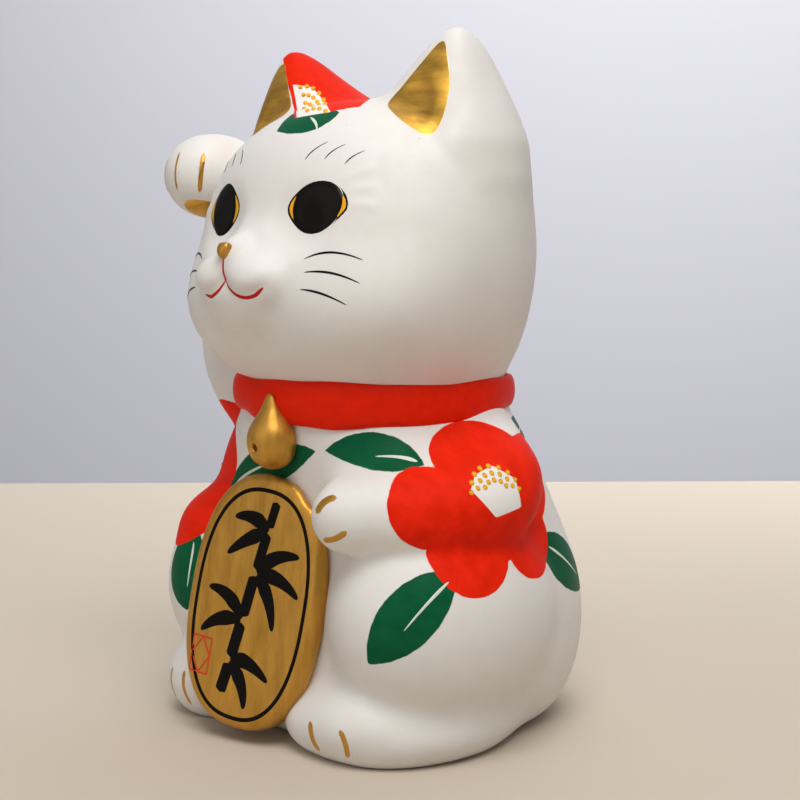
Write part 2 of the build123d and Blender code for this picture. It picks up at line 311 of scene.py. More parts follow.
def head_skin(fine, coarse):
    """The head with its ears, muzzle and eye sockets modelled, and each part's own field."""
    parts = {name: fine.from_nodes(name) for name in HEAD_NODES}
    filled = np.maximum(coarse.from_nodes(*CORE_NODES), NECK_Z - coarse.z)
    filled = np.minimum(filled, coarse.from_nodes("left_ear", "right_ear") + ear_taper(coarse))
    filled = fine.refined(coarse, blurred(coarse.offset_and_back(filled, 10.5), 1))
    whole = soft_core(fine, coarse, -1.0, 8.0)
    cheeks = smoothstep(-fine.y, 14.0, 26.0) * smoothstep(150.0 - fine.z, 0.0, 10.0)
    whole = whole + cheeks * (blurred(whole, 3.2 / fine.voxel) - whole)
    parts["head_shell"] = whole
    at_back = np.maximum(smoothstep(fine.y, -10.0, 6.0), smoothstep(np.abs(fine.x), 39.0, 46.0))
    for ear in ("left_ear", "right_ear"):
        whole = melt(whole, parts[ear] + ear_taper(fine), 4.0 + 8.0 * at_back)
    whole = whole + at_back * (np.minimum(whole, filled) - whole)
    for side in (1.0, -1.0):
        whole = melt(whole, egg(fine, *on_side(side, TEMPLE)), 8.0)
    for x, z in EYE_AT:
        whole = carve(whole, egg(fine, (x, EYE_SOCKET_Y, z), EYE_SOCKET_RADII), 4.0)
    for side in (1.0, -1.0):
        whole = carve(whole, egg(fine, *on_side(side, CHEEK_HOLLOW)), 6.0)
        whole = melt(whole, egg(fine, *on_side(side, MUZZLE_LOBE)), 4.0)
        for low, high in EYE_CREASES:
            ends = [(side * s, surface_y(fine, whole, side * s, z), z) for s, z in (low, high)]
            whole = melt(whole, rod(fine, *ends, 0.05), 2.0)
    whole = melt(whole, egg(fine, *CHIN), 6.0)
    whole = melt(whole, egg(fine, *NOSE_TIP), 4.0)
    whole = carve(whole, rod(fine, *LIP_GROOVE, 0.8), 3.0)
    for side in (1.0, -1.0):
        path = [(side * s, z) for s, z in MOUTH]
        ends = [(s, surface_y(fine, whole, s, z), z) for s, z in path]
        for a, b in zip(ends, ends[1:]):
            whole = carve(whole, rod(fine, a, b, 0.3), 2.8)
    return blurred(whole, 1), parts


def surface_y(field, array, x, z):
    """Where a line straight in from the front meets the surface."""
    i = int(round(x / field.voxel - field.start[0]))
    k = int(round(z / field.voxel - field.start[2]))
    line = array[i, :, k]
    j = int(np.argmax(line < 0.0))
    before, after = float(line[j - 1]), float(line[j])
    return float(field.axes[1][j - 1]) + field.voxel * before / (before - after)


# ---------------------------------------------------------------- drawing on the skins
class View:
    """Looks square-on at the figure from a compass direction: 0 is the front, 90 its left side."""

    def __init__(self, degrees):
        angle = math.radians(degrees)
        self.out = np.array([math.sin(angle), -math.cos(angle), 0.0])
        self.right = np.array([math.cos(angle), math.sin(angle), 0.0])

    def across(self, points):
        return points @ self.right

    def touch(self, tree, s, z):
        """First surface point and its normal seen at s across and height z, or None."""
        start = self.out * 300.0 + self.right * s
        start[2] = z
        point, normal, _, _ = tree.ray_cast(Vector(start), Vector(-self.out))
        if point is None:
            return None
        if normal.dot(Vector(self.out)) < 0.0:
            normal = -normal
        return np.array(point), np.array(normal)


CAMERA_TURN = 47.0  # degrees that the camera stands round to the figure's left
FRONT = View(0.0)
THREE_QUARTER = View(CAMERA_TURN)
LEFT_FLANK = View(70.0)
LEFT_SIDE = View(90.0)
RIGHT_FLANK = View(-50.0)
RIGHT_SIDE = View(-90.0)


def oval(s, z, centre, radii):
    """Signed distance to an ellipse, good near its edge; negative inside."""
    a, b = (s - centre[0]) / radii[0], (z - centre[1]) / radii[1]
    length = np.hypot(a, b)
    slope = np.hypot(a / radii[0], b / radii[1])
    return length * (length - 1.0) / np.maximum(slope, 1e-6)


def leaf(s, z, stalk, tip, left, right):
    """Signed distance to a leaf of two arcs, bulging left and right of its stalk-to-tip line."""
    length = math.dist(stalk, tip)
    way = ((tip[0] - stalk[0]) / length, (tip[1] - stalk[1]) / length)
    along = (s - stalk[0]) * way[0] + (z - stalk[1]) * way[1] - length / 2.0
    across = (z - stalk[1]) * way[0] - (s - stalk[0]) * way[1]
    edges = []
    for side, bulge in ((1.0, left), (-1.0, right)):
        radius = (length * length / 4.0 + bulge * bulge) / (2.0 * bulge)
        edges.append(np.hypot(along, side * across - bulge + radius) - radius)
    return np.maximum(*edges)


def facet(s, z, corners, softness=0.1):
    """Signed distance to a convex shape whose corners run anticlockwise, rounded by softness."""
    whole = None
    for (s0, z0), (s1, z1) in zip(corners, corners[1:] + corners[:1]):
        length = math.hypot(s1 - s0, z1 - z0)
        edge = ((s - s0) * (z1 - z0) - (z - z0) * (s1 - s0)) / length
        whole = edge if whole is None else -melt(-whole, -edge, softness)
    return whole


def overlaid(shapes):
    """Signed distance to several shapes laid over each other."""
    return np.minimum.reduce(shapes)


def seen(view, normals, shape, edge=0.05, pull=12.0):
    """Keeps only the part of a shape on skin that faces the view; positive inside."""
    return np.minimum(-shape, (normals @ view.out - edge) * pull)


LEFT_PETALS = [
    ((10.0, 68.0), (18.0, 14.0)), ((12.0, 79.8), (15.0, 11.3)), ((27.0, 73.0), (16.0, 14.0)),
    ((-6.0, 70.0), (12.6, 10.6)), ((27.0, 58.2), (11.0, 9.6)), ((4.0, 59.0), (12.4, 12.0)),
]
RIGHT_PETALS = [
    ((-15.0, 69.0), (16.0, 15.0)), ((-2.5, 77.0), (11.5, 11.0)), ((-1.5, 60.5), (11.0, 11.5)),
    ((-18.0, 56.5), (12.0, 9.0)), ((-18.0, 82.0), (13.0, 10.0)), ((-32.0, 70.0), (12.0, 12.0)),
]
LEFT_STAMENS = [(3.5, 75.0), (10.0, 67.5), (18.5, 69.5), (17.5, 77.0), (12.0, 80.5), (6.0, 78.5)]
RIGHT_STAMENS = [(-20.0, 66.5), (-11.5, 66.0), (-8.6, 73.6), (-12.0, 78.0), (-17.0, 78.6), (-22.6, 74.0)]
BODY_LEAVES = [
    (THREE_QUARTER, (14.6, 80.8), (-12.4, 83.2), 2.6, 6.8),
    (THREE_QUARTER, (23.0, 54.4), (-0.6, 29.8), 6.0, 8.8),
    (LEFT_SIDE, (13.0, 57.0), (45.0, 38.6), 8.0, 6.4),
    (LEFT_SIDE, (14.0, 84.0), (37.0, 87.0), 4.0, 3.4),
    (FRONT, (-30.0, 67.0), (14.0, 83.0), 7.2, 4.4),
    (FRONT, (-37.0, 57.0), (-35.6, 31.2), 6.4, 9.6),
    (RIGHT_SIDE, (12.0, 56.0), (22.0, 14.0), 6.0, 9.0),
    (RIGHT_SIDE, (-16.0, 56.0), (-40.0, 40.0), 7.0, 6.0),
]
PAW_PAD = ((-50.5, 150.0), (5.6, 3.6))


def body_paint(points, normals):
    """Distance inside each painted area of the body, for every skin vertex."""
    z = points[:, 2]
    left, right = LEFT_FLANK.across(points), RIGHT_FLANK.across(points)
    flowers = [
        seen(LEFT_FLANK, normals, overlaid([oval(left, z, *petal) for petal in LEFT_PETALS]), -0.1),
        seen(RIGHT_FLANK, normals, overlaid([oval(right, z, *petal) for petal in RIGHT_PETALS]), -0.3),
    ]
    leaves = [
        seen(view, normals, leaf(view.across(points), z, *shape)) for view, *shape in BODY_LEAVES
    ]
    stamens = [
        seen(LEFT_FLANK, normals, facet(left, z, LEFT_STAMENS)),
        seen(RIGHT_FLANK, normals, facet(right, z, RIGHT_STAMENS)),
    ]
    pad = seen(FRONT, normals, oval(FRONT.across(points), z, *PAW_PAD), -0.9)
    return {
        "red": np.maximum.reduce(flowers),
        "green": np.maximum.reduce(leaves),
        "white": np.maximum.reduce(stamens),
        "gold": pad,
    }


EAR_FACE = [(20.6, 178.6), (40.0, 167.2), (41.2, 180.0), (38.6, 189.0), (34.2, 196.4)]
CROWN_PATCH = [(-28.0, 203.0), (-24.8, 189.0), (-21.0, 174.8), (-2.6, 177.3), (3.0, 184.0), (3.0, 203.0)]
CROWN_STAMENS = [(-23.0, 187.6), (-20.4, 174.9), (-10.8, 175.9), (-14.0, 182.6), (-17.0, 186.4)]
CROWN_LEAF = ((-8.2, 175.6), (-25.8, 171.0), 3.2, 5.0)


def head_paint(points, normals):
    """Distance inside each painted area of the head, for every skin vertex."""
    x, y, z = points.T
    s = THREE_QUARTER.across(points)
    patch = -facet(s, z, CROWN_PATCH)
    ears = seen(FRONT, normals, facet(np.abs(x), z, EAR_FACE, 3.5), 0.12)
    return {
        "red": patch,
        "green": seen(THREE_QUARTER, normals, leaf(s, z, *CROWN_LEAF)),
        "white": seen(THREE_QUARTER, normals, facet(s, z, CROWN_STAMENS), 0.0),
        "gold": np.minimum(ears, (-y - 1.0) * 2.0),
    }


# ---------------------------------------------------------------- objects
def add_piece(name, points, faces, material, body=FIGURE, replaces=(), normals=None, paint=None):
    """One named piece of the figure, from points in millimetres."""
    mesh = bpy.data.meshes.new(name)
    mesh.from_pydata((np.asarray(points) * MM).tolist(), [], [list(map(int, face)) for face in faces])
    mesh.validate()
    mesh.shade_smooth()
    if normals is not None:
        mesh.normals_split_custom_set_from_vertices(normals.tolist())
    for key, values in (paint or {}).items():
        layer = mesh.attributes.new(key, "FLOAT", "POINT")
        layer.data.foreach_set("value", values.astype(np.float32))
    mesh.materials.append(material)
    piece = bpy.data.objects.new(name, mesh)
    bpy.context.scene.collection.objects.link(piece)
    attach(piece, body)
    if replaces:
        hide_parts(*replaces)
    return piece


def skin_of(field, array):
    """Surface points, outward-wound quads and unit normals of a distance field."""
    points, quads = field.to_mesh(array)
    points = np.asarray(points, float)
    quads = np.asarray(quads, int)
    for _ in range(2):
        slope = field.slopes(array, points)
        size = np.maximum((slope * slope).sum(1), 0.2)
        points = points - slope * (field.sample(array, points) / size)[:, None]
    slope = field.slopes(array, points)
    normals = slope / np.maximum(np.linalg.norm(slope, axis=1), 1e-6)[:, None]
    a, b, c = (points[quads[:, i]] for i in range(3))
    turned = np.einsum("ij,ij->i", np.cross(b - a, c - a), normals[quads[:, 0]]).sum()
    return points, quads if turned > 0.0 else quads[:, ::-1], normals


def add_skin(field, array, parts, painter, material):
    """One piece per CAD casting, cut from a continuous skin; returns a tree to draw on."""
    points, quads, normals = skin_of(field, array)
    paint = painter(points, normals)
    middles = points[quads].mean(1)
    owner = np.argmin([field.sample(part, middles) for part in parts.values()], axis=0)
    for index, name in enumerate(parts):
        chosen = quads[owner == index]
        used, faces = np.unique(chosen, return_inverse=True)
        add_piece(
            name + "_painted", points[used], faces.reshape(-1, 4), material,
            replaces=[name], normals=normals[used], paint={k: v[used] for k, v in paint.items()},
        )
    return BVHTree.FromPolygons(points.tolist(), quads.tolist())


def add_solid(node, voxel, rounding, material, body=FIGURE, shape=None):
    """A casting of its own: the CAD shape with softened edges."""
    field = Field([node], voxel, 4.0)
    array = field.from_nodes(node)
    if rounding:
        array = field.offset_and_back(array, -rounding)
    if shape:
        array = shape(field, array)
    points, quads, normals = skin_of(field, blurred(array, 1))
    add_piece(node + "_finished", points, quads, material, body, [node], normals)
    return BVHTree.FromPolygons(points.tolist(), quads.tolist())


def smooth_path(path, step=0.5):
    """Points about a step apart on a smooth curve through a path."""
    path = np.array(path, float)
    if len(path) == 2:
        path = np.array([path[0], path.mean(0), path[1]])
    if len(path) == 3:
        count = max(4, int((math.dist(path[0], path[1]) + math.dist(path[1], path[2])) / step))
        t = np.linspace(0.0, 1.0, count + 1)[:, None]
        return path[0] * (1 - t) * (1 - 2 * t) + 4 * path[1] * t * (1 - t) + path[2] * t * (2 * t - 1)
    ends = np.concatenate([[2 * path[0] - path[1]], path, [2 * path[-1] - path[-2]]])
    curve = []
    for p0, p1, p2, p3 in zip(ends, ends[1:], ends[2:], ends[3:]):
        count = max(2, int(math.dist(p1, p2) / step))
        for t in np.arange(count) / count:
            curve.append(
                0.5 * (2 * p1 + (p2 - p0) * t + (2 * p0 - 5 * p1 + 4 * p2 - p3) * t * t
                       + (3 * p1 - p0 - 3 * p2 + p3) * t ** 3)
            )
    return np.array(curve + [path[-1]])


BRUSH = np.linspace(-1.0, 1.0, 5)  # places across a stroke, from edge to edge


def stroke(view, tree, path, width, start=0.25, end=0.25, lift=0.09):
    """A domed brush stroke laid on the surface, thinning over its start and end shares."""
    curve = smooth_path(path)
    tangent = np.gradient(curve, axis=0)
    tangent /= np.maximum(np.linalg.norm(tangent, axis=1), 1e-9)[:, None]
    points, faces = [], []
    for index, (at, way) in enumerate(zip(curve, tangent)):
        t = index / (len(curve) - 1)
        full = min(1.0, t / start if start else 1.0, (1.0 - t) / end if end else 1.0)
        half = 0.5 * width * (0.12 + 0.88 * math.sqrt(max(full, 0.0)))
        row = []
        for side in BRUSH:
            hit = view.touch(tree, at[0] - way[1] * side * half, at[1] + way[0] * side * half)
            if hit is None:
                break
            row.append(hit[0] + hit[1] * (0.03 + lift * (1.0 - side * side)))
        if len(row) < len(BRUSH):
            continue
        base = len(points)
        points += row
        if base:
            for i in range(len(BRUSH) - 1):
                faces.append([base - len(BRUSH) + i, base + i, base + i + 1, base - len(BRUSH) + i + 1])
    return np.array(points).reshape(-1, 3), faces


def blob(view, tree, centre, outline, lift, dome, rings=8, around=64):
    """A low dome of paint inside an outline given as an angle's offset from the centre."""
    points, faces = [], []
    for ring in range(rings + 1):
        share = max(ring / rings, 0.02)
        for step in range(around):
            ds, dz = outline(2.0 * math.pi * step / around)
            hit = view.touch(tree, centre[0] + ds * share, centre[1] + dz * share)
            if hit is None:
                return np.zeros((0, 3)), []
            height = lift + dome * math.sqrt(max(1.0 - share * share, 0.0))
            points.append(hit[0] + hit[1] * (height if ring < rings else -0.05))
    for ring in range(rings):
        for step in range(around):
            after = (step + 1) % around
            inner, outer = ring * around, (ring + 1) * around
            faces.append([inner + step, outer + step, outer + after, inner + after])
    faces.append(list(range(around))[::-1])
    return np.array(points), faces


def wound_outward(points, faces):
    """Turns each face of some marks to look away from the middle of the figure."""
    middle = np.array([0.0, 20.0, points[:, 2].mean()])
    a, b, c = (points[[face[i] for face in faces]] for i in range(3))
    flip = np.einsum("ij,ij->i", np.cross(b - a, c - a), a - middle) < 0.0
    return [face[::-1] if turn else face for face, turn in zip(faces, flip)]


def add_marks(name, marks, material):
    """Several strokes or blobs as one piece."""
    points, faces, count = [], [], 0
    for p, f in marks:
        if not len(p):
            continue
        points.append(p)
        faces += [[index + count for index in face] for face in f]
        count += len(p)
    points = np.concatenate(points)
    return add_piece(name, points, wound_outward(points, faces), material)


def mirrored(path, aside=0.0):
    """The same path on the other side of the face, moved aside millimetres further out."""
    return [(-s - aside, z) for s, z in path]


# ---------------------------------------------------------------- materials
class Shader:
    """Short way to write a node material."""

    def __init__(self, name):
        self.material = bpy.data.materials.new(name)
        self.material.use_nodes = True
        self.nodes = self.material.node_tree.nodes
        self.links = self.material.node_tree.links
        self.nodes.clear()
        self.surface = self.nodes.new("ShaderNodeBsdfPrincipled")
        output = self.nodes.new("ShaderNodeOutputMaterial")
        self.links.new(self.surface.outputs[0], output.inputs["Surface"])
        self.place = self.nodes.new("ShaderNodeTexCoord").outputs["Object"]

    def put(self, value, socket):
        if isinstance(value, bpy.types.NodeSocket):
            self.links.new(value, socket)
        elif isinstance(value, (tuple, list)) and len(value) == 3:
            socket.default_value = (*value, 1.0) if socket.type == "RGBA" else value
        else:
            socket.default_value = value

    def math(self, operation, a, b=0.0):
        node = self.nodes.new("ShaderNodeMath")
        node.operation = operation
        self.put(a, node.inputs[0])
        self.put(b, node.inputs[1])
        return node.outputs[0]

    def remap(self, value, low, high, to_low=0.0, to_high=1.0):
        node = self.nodes.new("ShaderNodeMapRange")
        for socket, given in zip(node.inputs, (value, low, high, to_low, to_high)):
            self.put(given, socket)
        return node.outputs[0]

    def attribute(self, name):
        node = self.nodes.new("ShaderNodeAttribute")
        node.attribute_name = name
        return node.outputs["Fac"]

    def stretched(self, scale, turn=(0.0, 0.0, 0.0)):
        node = self.nodes.new("ShaderNodeMapping")
        self.put(self.place, node.inputs["Vector"])
        node.inputs["Rotation"].default_value = turn
        node.inputs["Scale"].default_value = scale
        return node.outputs[0]

    def noise(self, size, detail=3.0, roughness=0.55, place=None):
        """Noise whose blobs are about size millimetres across."""
        node = self.nodes.new("ShaderNodeTexNoise")
        self.put(self.place if place is None else place, node.inputs["Vector"])
        node.inputs["Scale"].default_value = 1.0 / (size * MM)
        node.inputs["Detail"].default_value = detail
        node.inputs["Roughness"].default_value = roughness
        return node.outputs["Fac"]

    def specks(self, spacing, size):
        """Sparse round specks: 1 inside, 0 outside."""
        node = self.nodes.new("ShaderNodeTexVoronoi")
        self.put(self.place, node.inputs["Vector"])
        node.inputs["Scale"].default_value = 1.0 / (spacing * MM)
        return self.remap(node.outputs["Distance"], size / spacing, size / spacing * 0.6)

    def mix(self, amount, a, b):
        node = self.nodes.new("ShaderNodeMix")
        node.data_type = "RGBA"
        self.put(amount, node.inputs[0])
        self.put(a, node.inputs[6])
        self.put(b, node.inputs[7])
        return node.outputs[2]

    def blend_value(self, amount, a, b):
        node = self.nodes.new("ShaderNodeMix")
        self.put(amount, node.inputs[0])
        self.put(a, node.inputs[2])
        self.put(b, node.inputs[3])
        return node.outputs[0]

    def bump(self, height, distance):
        """Surface relief of height times distance millimetres."""
        node = self.nodes.new("ShaderNodeBump")
        self.put(height, node.inputs["Height"])
        node.inputs["Distance"].default_value = distance * MM
        return node.outputs[0]

    def finish(self, **inputs):
        for name, value in inputs.items():
            self.put(value, self.surface.inputs[name.replace("_", " ")])
        return self.material


WHITE = (0.80, 0.775, 0.735)
RED = (0.82, 0.019, 0.003)
GREEN = (0.004, 0.100, 0.040)
GOLD = (0.62, 0.34, 0.050)
YOLK = (0.86, 0.42, 0.02)
INK = (0.006, 0.005, 0.004)
STAMEN_WHITE = (0.84, 0.82, 0.78)
COATS = (  # paint layer, colour, roughness, in the order in which they are laid on
    ("green", GREEN, 0.40),
    ("red", RED, 0.50),
    ("gold", GOLD, 0.42),
    ("white", STAMEN_WHITE, 0.55),
)


def brushed(shader, turn=(0.0, 0.0, 0.0), size=7.0, stretch=(0.35, 1.6, 1.6)):
    """Streaks left by a brush."""
    return shader.noise(size, 4.0, 0.6, shader.stretched(stretch, turn))


def painted_ceramic(name):
    """Matt white glaze with hand-painted areas read from the skin's paint distances."""
    shader = Shader(name)
    cloud = shader.noise(38.0, 3.0)
    mottle = shader.noise(5.0, 5.0, 0.6)
    colour = shader.mix(shader.remap(cloud, 0.35, 0.65, 0.0, 0.5), WHITE, tuple(0.95 * c for c in WHITE))
    colour = shader.mix(shader.remap(mottle, 0.4, 0.7, 0.0, 0.35), colour, (0.74, 0.70, 0.65))
    colour = shader.mix(shader.math("MULTIPLY", shader.specks(11.0, 0.35), 0.35), colour, (0.42, 0.36, 0.30))
    roughness = shader.remap(mottle, 0.3, 0.7, 0.46, 0.60)
    metallic = 0.0
    streaks = brushed(shader, (0.3, 0.4, 0.9))
    waver = shader.math("MULTIPLY", shader.math("SUBTRACT", shader.noise(3.2, 2.0), 0.5), 0.6)
    relief = shader.math("MULTIPLY", mottle, 0.25)
    tinted = 0.0
    for key, coat, coat_roughness in COATS:
        edge = shader.attribute(key)
        if key in ("red", "green"):
            edge = shader.math("ADD", edge, waver)
        inside = shader.remap(edge, -0.1, 0.1)
        dark = tuple(c * (0.72 if key == "gold" else 0.90) for c in coat)
        light = tuple(min(1.0, c * (1.3 if key == "gold" else 1.06) + 0.002) for c in coat)
        toned = shader.mix(shader.remap(streaks, 0.35, 0.65), dark, light)
        if key == "white":
            toned = coat
        colour = shader.mix(inside, colour, toned)
        rough = shader.remap(streaks, 0.3, 0.7, coat_roughness - 0.07, coat_roughness + 0.08)
        roughness = shader.blend_value(inside, roughness, rough)
        tinted = shader.math("MAXIMUM", tinted, inside if key != "gold" else 0.0)
        if key in ("gold", "white"):
            metallic = shader.blend_value(inside, metallic, 0.8 if key == "gold" else 0.0)
        relief = shader.math("ADD", relief, shader.math("MULTIPLY", inside, 0.35))
    relief = shader.math("ADD", relief, shader.math("MULTIPLY", streaks, 0.15))
    grain = shader.math("MULTIPLY", shader.noise(0.9, 3.0), 0.2)
    normal = shader.bump(shader.math("ADD", relief, grain), 0.16)
    return shader.finish(
        Base_Color=colour, Roughness=roughness, Metallic=metallic, Normal=normal,
        Specular_IOR_Level=shader.blend_value(tinted, 0.4, 0.04), Subsurface_Weight=0.05,
        Subsurface_Radius=(0.004, 0.003, 0.002), Subsurface_Scale=0.4,
    )


def gold_paint(name, turn=(0.0, 0.0, 0.0)):
    """Dull metallic gold laid on with a brush."""
    shader = Shader(name)
    streaks = brushed(shader, turn, 5.0, (1.8, 1.8, 0.22))
    worn = shader.noise(30.0, 3.0)
    colour = shader.mix(shader.remap(streaks, 0.3, 0.7), (0.48, 0.235, 0.030), (0.68, 0.355, 0.058))
    colour = shader.mix(shader.remap(worn, 0.45, 0.75, 0.0, 0.4), colour, (0.45, 0.235, 0.045))
    height = shader.math("ADD", streaks, shader.math("MULTIPLY", shader.noise(0.8, 3.0), 0.3))
    return shader.finish(
        Base_Color=colour, Metallic=0.72, Roughness=shader.remap(streaks, 0.3, 0.7, 0.34, 0.52),
        Normal=shader.bump(height, 0.14),
    )


def coat_of_paint(name, colour, roughness, sheen=0.0):
    """An even coat with faint brush streaks."""
    shader = Shader(name)
    streaks = brushed(shader, (0.2, 0.1, 0.0), 5.0)
    toned = shader.mix(
        shader.remap(streaks, 0.35, 0.65), tuple(0.93 * c for c in colour), tuple(1.04 * c for c in colour)
    )
    height = shader.math("ADD", streaks, shader.math("MULTIPLY", shader.noise(0.9, 3.0), 0.4))
    return shader.finish(
        Base_Color=toned, Roughness=shader.remap(streaks, 0.3, 0.7, roughness - 0.06, roughness + 0.06),
        Normal=shader.bump(height, 0.10), Coat_Weight=sheen, Coat_Roughness=0.12, Specular_IOR_Level=0.06,
    )


def soft_rubber(name):
    """Translucent milky rubber of the stopper."""
    shader = Shader(name)
    cloud = shader.noise(6.0, 4.0)
    colour = shader.mix(cloud, (0.52, 0.50, 0.45), (0.66, 0.64, 0.58))
    return shader.finish(
        Base_Color=colour, Roughness=shader.remap(cloud, 0.3, 0.7, 0.5, 0.62),
        Normal=shader.bump(shader.noise(1.2, 3.0), 0.08), Subsurface_Weight=0.15,
        Subsurface_Radius=(0.003, 0.003, 0.002), Subsurface_Scale=0.5,
    )


def plain_paper(name, colour):
    """Even studio surface with the faintest cloudiness."""
    shader = Shader(name)
    cloud = shader.noise(180.0, 2.0)
    toned = shader.mix(cloud, tuple(0.98 * c for c in colour), colour)
    return shader.finish(Base_Color=toned, Roughness=0.85)


# ---------------------------------------------------------------- face and markings
MOUTH = [(0.0, 129.8), (2.9, 127.1), (7.2, 125.3), (11.2, 125.8), (14.2, 128.0)]
PHILTRUM = [(-0.3, 136.4), (0.0, 133.0), (0.0, 129.6)]
WHISKERS = [
    [(21.6, 135.5), (28.5, 137.2), (36.5, 135.2)],
    [(22.6, 132.0), (30.0, 131.8), (37.0, 129.2)],
    [(22.2, 127.5), (28.4, 126.4), (34.5, 123.6)],
]
BROW_SWEEP = ((0.0, 0.0), (1.2, 2.2), (3.6, 4.0))  # every brow stroke curves up and outward like this
BROW_FEET = ((14.0, 162.0, 1.2), (20.0, 162.0, 1.0), (26.0, 160.5, 0.9))  # across, height, size
BROWS = [[(s + k * ds, z + k * dz) for ds, dz in BROW_SWEEP] for s, z, k in BROW_FEET]
FACE_MARK_WIDTH = 0.62


def pupil_outline(shape, growth=0.0, shift=0.0):
    """Upright oval whose top leans aside by its slant."""
    _, half_width, half_height, slant = shape

    def at(angle):
        up = (half_height + growth) * math.sin(angle)
        return (half_width + growth) * math.cos(angle) + slant * up + shift, up
    return at


def eye_outline(shape, growth):
    """The pupil's oval drawn out to a point at both corners."""
    oval_at = pupil_outline(shape, growth)
    point = shape[0] - shape[1]

    def at(angle):
        s, z = oval_at(angle)
        return s + math.copysign(point * abs(math.cos(angle)) ** 7, math.cos(angle)), z
    return at


def heart_outline(size):
    """Rounded heart with its point down."""
    def at(angle):
        across = 0.98 * math.sin(angle)
        up = 0.92 * math.cos(angle) - 0.20 * math.cos(2.0 * angle)
        return size * across, size * up
    return at


def round_outline(radius):
    def at(angle):
        return radius * math.cos(angle), radius * math.sin(angle)
    return at


def add_face(tree, ink, yolk, pearl, red, gold):
    for side, centre, shape, shift in zip(("left", "right"), EYE_AT, EYE_SHAPES, (0.22, -0.22)):
        rim = blob(FRONT, tree, centre, eye_outline(shape, 0.30), 0.06, 0.05)
        iris = blob(FRONT, tree, centre, eye_outline(shape, -0.12), 0.13, 0.08)
        # The pale crescent beside each pupil is a painted highlight: a glint laid on in the pale line
        # colour.
        painted_highlight = blob(FRONT, tree, centre, pupil_outline(shape, 0.0, shift), 0.20, 0.10)
        pupil = blob(FRONT, tree, centre, pupil_outline(shape), 0.26, 0.35)
        add_marks(side + "_eye_rim", [rim], ink)
        add_marks(side + "_iris", [iris], yolk)
        add_marks(side + "_painted_pupil_highlight", [painted_highlight], pearl)
        add_marks(side + "_pupil", [pupil], ink)
    add_marks("nose", [blob(FRONT, tree, (-0.2, 138.0), heart_outline(2.3), 0.1, 1.9)], gold)
    far_corner = [(-0.84 * s, z) for s, z in MOUTH[:-1]]
    mouth = [stroke(FRONT, tree, PHILTRUM, 0.75, 0.3, 0.0)]
    mouth += [stroke(FRONT, tree, path, 0.95, 0.45, 0.15) for path in (MOUTH, far_corner)]
    whiskers, brows = [], []
    for turn in (lambda path, aside=0.0: path, mirrored):
        whiskers += [stroke(FRONT, tree, turn(path, 3.0), FACE_MARK_WIDTH, 0.3, 0.5) for path in WHISKERS]
        brows += [stroke(FRONT, tree, turn(path), 0.62 * FACE_MARK_WIDTH, 0.3, 0.6) for path in BROWS]
    add_marks("mouth_line", mouth, red)
    add_marks("whiskers", whiskers, ink)
    add_marks("brow_strokes", brows, ink)


CLAWS = [
    (THREE_QUARTER, [(-50.3, 167.4), (-51.6, 155.8)], 1.4),
    (THREE_QUARTER, [(-57.8, 168.0), (-59.0, 162.0), (-58.6, 156.6)], 0.6),
    (FRONT, [(-62.0, 166.0), (-62.8, 161.0), (-61.8, 156.4)], 0.9),
    (THREE_QUARTER, [(-8.8, 73.2), (-12.0, 71.9), (-14.2, 68.6)], 1.5),
    (THREE_QUARTER, [(-6.2, 64.7), (-9.4, 62.4), (-12.4, 61.7)], 1.7),
    (THREE_QUARTER, [(-16.2, 11.4), (-15.7, 7.0), (-13.8, 3.4)], 1.3),
    (THREE_QUARTER, [(-8.2, 11.4), (-6.7, 7.8), (-6.1, 3.6)], 1.4),
    (FRONT, [(-31.2, 14.6), (-30.8, 10.0), (-29.4, 4.6)], 1.3),
    (FRONT, [(-38.6, 14.0), (-38.8, 9.6), (-38.2, 5.0)], 1.3),
]
VEINS = [
    (THREE_QUARTER, [(12.6, 81.6), (7.6, 82.6), (1.4, 82.6)], 0.9),
    (THREE_QUARTER, [(20.4, 51.6), (14.6, 46.4), (8.6, 39.6)], 0.9),
    (LEFT_SIDE, [(21.0, 54.2), (29.0, 49.6), (38.0, 43.2)], 0.9),
    (LEFT_SIDE, [(19.0, 84.6), (31.0, 86.0)], 0.8),
    (FRONT, [(-24.0, 70.0), (-12.0, 75.6), (4.0, 80.4)], 0.9),
    (FRONT, [(-35.6, 51.6), (-34.6, 45.0), (-34.8, 38.4)], 0.9),
    (RIGHT_SIDE, [(13.4, 48.0), (19.6, 34.0), (21.8, 20.0)], 0.9),
    (RIGHT_SIDE, [(-20.0, 53.6), (-34.0, 44.4)], 0.9),
]
CROWN_VEIN = (THREE_QUARTER, [(-16.4, 174.6), (-14.8, 172.6), (-14.4, 170.4)], 0.8)


def pollen(centre, radii, counts=(9, 7, 5), first=8.0, last=172.0):
    """Rows of dots fanned over the tip of a flower's stamens, the inner rows narrower."""
    dots = []
    for row, count in enumerate(counts):
        share = 1.0 - 0.24 * row
        inward = 0.08 * row * (last - first)
        for step in range(count):
            part = step / (count - 1)
            angle = math.radians((first + inward) * (1.0 - part) + (last - inward) * part)
            across = share * radii[0] * math.cos(angle)
            up = share * radii[1] * math.sin(angle)
            dots.append((centre[0] + across, centre[1] + up))
    return dots


POLLEN_RADIUS = 0.72
CROWN_POLLEN_RADIUS = 0.75
LEFT_POLLEN = pollen((10.9, 73.4), (7.4, 7.0))
RIGHT_POLLEN = pollen((-15.6, 72.0), (7.0, 6.6))
CROWN_POLLEN = pollen((-19.2, 175.6), (7.0, 11.2), (7, 6, 4, 2), 4.0, 102.0)


